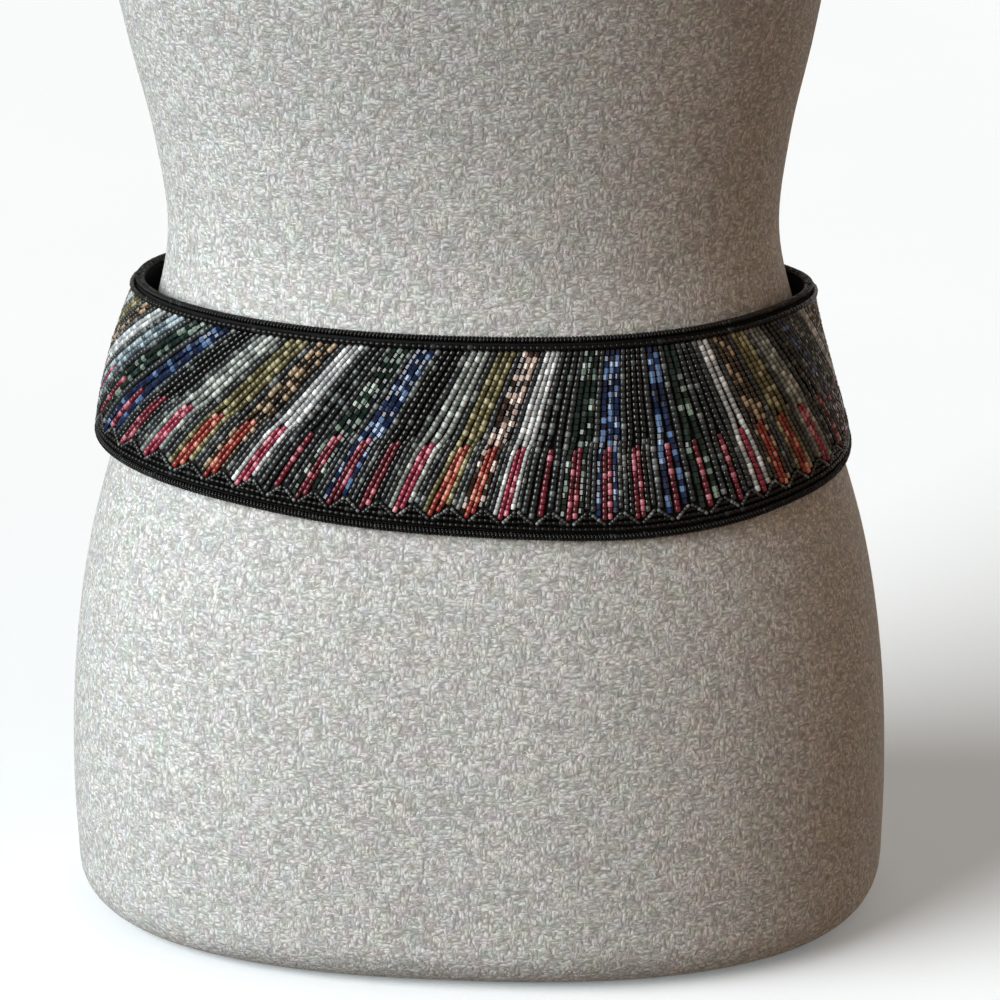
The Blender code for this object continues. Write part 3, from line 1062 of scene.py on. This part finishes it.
def wrap_cord(rows, cord, angles):
    """Short threads of small beads wrapped over a cord side by side, each leaning a little."""
    line_turns = np.linspace(START_TURN, END_TURN, CLOTH_COLUMNS)
    run = distances_along(belt_points(line_turns, cord.middle(line_turns), CORD_OUT))
    wraps = np.arange(WRAP_LEAN, run[-1] - WRAP_LEAN, WRAP_PITCH)
    for i, angle in enumerate(np.radians(angles)):
        lean = WRAP_LEAN * (i / (len(angles) - 1) - 0.5)
        before, turns, after = (
            np.interp(wraps + lean + shift, run, line_turns) for shift in (-WRAP_SLOPE, 0.0, WRAP_SLOPE)
        )
        middle = cord.middle(turns)
        centres = cord.points(turns, middle, angle)
        ahead = cord.points(after, middle, angle + WRAP_REACH)
        behind = cord.points(before, middle, angle - WRAP_REACH)
        outwards = centres - belt_points(turns, middle, CORD_OUT)
        for centre, direction, normal in zip(centres, ahead - behind, outwards):
            rows.add(Vector(centre), Vector(direction), Vector(normal), 1.0, 1.0, ROPE_SHARE)


def make_rope(name, node, cord, angles, stock):
    """A rolled edge: wraps of small beads round a cord."""
    rows = BeadRows(ROPE_SEED)
    wrap_cord(rows, cord, angles)
    piece = rows.make(name, stock.small, stock, "jet", cord.make(stock.thread))
    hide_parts(node)


def make_ridge(stock):
    """The second ridge on the face of the belt: one row of black beads, just under the edge."""
    rows = BeadRows(SEED)
    turns = np.linspace(START_TURN + RIDGE_INSET, END_TURN - RIDGE_INSET, CLOTH_COLUMNS)
    rows.lay(turns, ridge_middle(turns), RIDGE_OUT, BEAD_PITCH, RIDGE_BEAD_WIDTH, ROPE_SHARE)
    piece = rows.make("rope_top_face", stock.round, stock, "jet")
    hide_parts("top_face_rope")


def make_beadwork():
    """Every bead of the belt, one piece for each finish and one for each rope."""
    stock = BeadStock()
    rows = {finish: BeadRows(SEED + i) for i, finish in enumerate((*BEAD_COLOURS, "points"))}
    lay_field(rows)
    points = rows.pop("points").make("beads_round_points", stock.small, stock, "outline")
    for finish, collected in rows.items():
        name = BEAD_NAMES.get(finish, "beads_" + finish)
        shape = stock.cut if BEAD_SURFACES[finish][-1] else stock.round
        collected.make(name, shape, stock, finish)
    top = Cord(top_rope_middle, TOP_ROPE_HEIGHT, TOP_ROPE_DEPTH)
    bottom = Cord(bottom_rope_middle, BOTTOM_ROPE_HEIGHT, BOTTOM_ROPE_DEPTH)
    make_rope("rope_top_edge", "top_edge_rope", top, TOP_ROPE_BEADS, stock)
    make_rope("rope_bottom_edge", "bottom_edge_rope", bottom, BOTTOM_ROPE_BEADS, stock)
    make_ridge(stock)


# Cloth


def make_cloth_layer(name, out, shell, material):
    """One layer of the belt's cloth, a thin shell between the edge ropes."""

    def place(across, up):
        turn = START_TURN + across * (END_TURN - START_TURN)
        top, bottom = cloth_edges(turn)
        return belt_points(turn, bottom + up * (top - bottom), out)

    mesh = curved_sheet(CLOTH_COLUMNS, CLOTH_ROWS, place)
    area = sum(face.calc_area() for face in mesh.faces)
    map_in_metres = mesh.loops.layers.uv["cloth"]
    width = belt_depth()
    length = area / width
    for face in mesh.faces:
        for loop in face.loops:
            loop[map_in_metres].uv = loop[map_in_metres].uv * Vector((length, width))
    piece = finished_piece(name, mesh, material)
    solidify = piece.modifiers.new("Thickness", "SOLIDIFY")
    solidify.thickness = shell
    solidify.offset = -1.0
    return piece, area


def belt_depth():
    """Depth of the belt's cloth at its middle, measured along the cloth."""
    turns = np.full(CLOTH_ROWS, DEEPEST_TURN)
    top, bottom = cloth_edges(turns)
    heights = np.linspace(bottom[0], top[0], CLOTH_ROWS)
    return float(distances_along(belt_points(turns, heights, GROUND_OUT))[-1])


def make_cloth():
    """The ground that the beads are sewn to and the lining behind it."""
    canvas = plain_weave("black_canvas", CANVAS_COLOUR, CANVAS_WAVES)
    ground, area = make_cloth_layer("canvas_ground", GROUND_OUT, GROUND_SHELL, canvas)
    satin = plain_weave("lining_satin", LINING_COLOUR, LINING_WAVES)
    lining, lining_area = make_cloth_layer("black_lining", LINING_OUT, LINING_SHELL, satin)
    for piece, node, slot, cloth_area in (
        (ground, "belt_panel", "beadwork", area),
        (lining, "belt_lining", "lining_cloth", lining_area),
    ):
        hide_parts(node)
        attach(piece, "root")


# Studio


def make_floor():
    """A wide pale floor under the form."""
    mesh = bmesh.new()
    bmesh.ops.create_grid(mesh, x_segments=1, y_segments=1, size=FLOOR_HALF_SIZE)
    floor = finished_piece("floor", mesh, pale_paint("pale_floor", FLOOR_GLOW))
    floor.visible_diffuse = False
    floor.visible_glossy = False


def make_backdrop():
    """A pale round wall far behind the form on every side. It lights nothing and casts no shadow."""
    mesh = bmesh.new()
    bmesh.ops.create_cone(
        mesh, cap_ends=False, segments=BACKDROP_SIDES, radius1=BACKDROP_RADIUS,
        radius2=BACKDROP_RADIUS, depth=BACKDROP_HEIGHT,
        matrix=Matrix.Translation((0.0, 0.0, BACKDROP_MIDDLE)),
    )
    bmesh.ops.reverse_faces(mesh, faces=mesh.faces)
    wall = finished_piece("backdrop", mesh, pale_paint("pale_backdrop", BACKDROP_GLOW))
    wall.visible_diffuse = False
    wall.visible_glossy = False
    wall.visible_shadow = False


def soft_sun(name, turn, height, strength, spread, colour):
    """Even light from far off, from the place that a row of LIGHTS gives."""
    data = bpy.data.lights.new(name, "SUN")
    data.energy = strength
    data.angle = math.radians(spread)
    data.color = colour
    light = bpy.data.objects.new(name, data)
    light.rotation_euler = (math.radians(90.0 - height), 0.0, math.radians(turn))
    bpy.context.scene.collection.objects.link(light)


def light_studio():
    """Soft cool light from the viewer's left, weak light from the right and back, and a dim room."""
    for light in LIGHTS:
        soft_sun(*light)
    world = bpy.data.worlds.new("dim_room")
    bpy.context.scene.world = world
    world.use_nodes = True
    background = world.node_tree.nodes["Background"]
    background.inputs["Color"].default_value = ROOM_COLOUR
    background.inputs["Strength"].default_value = ROOM_STRENGTH
    bpy.context.scene.view_settings.view_transform = "Standard"


def set_camera():
    """The photograph's angle: from the front, a little to the right, looking down."""
    data = bpy.data.cameras.new("camera")
    data.sensor_width = SENSOR_WIDTH
    data.lens = CAMERA_LENS
    camera = bpy.data.objects.new("camera", data)
    turn, tilt, roll = (math.radians(angle) for angle in (CAMERA_TURN, CAMERA_TILT, CAMERA_ROLL))
    camera.matrix_world = (
        Matrix.Translation(CAMERA_PLACE)
        @ Matrix.Rotation(turn, 4, "Z")
        @ Matrix.Rotation(math.pi / 2 - tilt, 4, "X")
        @ Matrix.Rotation(roll, 4, "Z")
    )
    bpy.context.scene.collection.objects.link(camera)
    bpy.context.scene.camera = camera


make_form()
make_beadwork()
make_cloth()
metal = stud_metal()
for stud in ("press_stud_upper", "press_stud_lower"):
    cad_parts[stud].material_slots[0].material = metal
make_floor()
make_backdrop()
light_studio()
set_camera()
